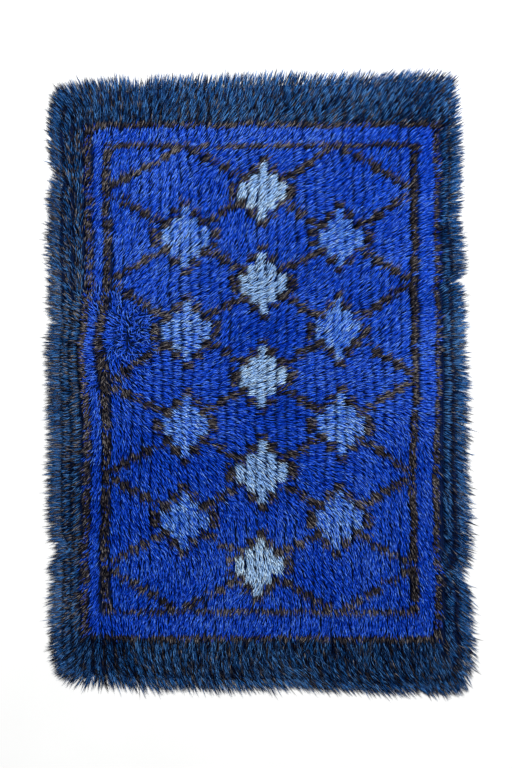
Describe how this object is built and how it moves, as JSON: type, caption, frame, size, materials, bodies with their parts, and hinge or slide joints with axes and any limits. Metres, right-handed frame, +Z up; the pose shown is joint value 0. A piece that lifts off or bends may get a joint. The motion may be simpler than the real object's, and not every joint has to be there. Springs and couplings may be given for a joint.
{
  "type": "rya rug",
  "caption": "Long-pile knotted wool rug with rounded corners, a dark border round a blue field, and a ragged rim of yarn ends, lying flat",
  "frame": {"origin": "Middle of the rug's outer box in plan, on the floor that it lies on", "axes": "+Z is up out of the pile; +Y runs along the rug's length towards its narrower back end; +X is to the right seen from above with +Y away"},
  "size_m": [1.3328, 1.9272, 0.0363],
  "materials": {
    "cobalt_wool": "worsted wool pile, cobalt blue, combed one way, soft sheen on the yarn ends",
    "navy_wool": "worsted wool pile, navy mixed with teal blue and near black",
    "brown_wool": "worsted wool pile, brown black with a few grey beige ends",
    "pale_wool": "worsted wool pile, pale grey blue",
    "sky_wool": "worsted wool pile, sky blue mixed with cobalt",
    "ground_wool": "flat-woven wool ground in weft-faced ribs, dark navy"
  },
  "bodies": {
    "root": {"rya_rug": "cobalt_wool"}
  },
  "joints": []
}
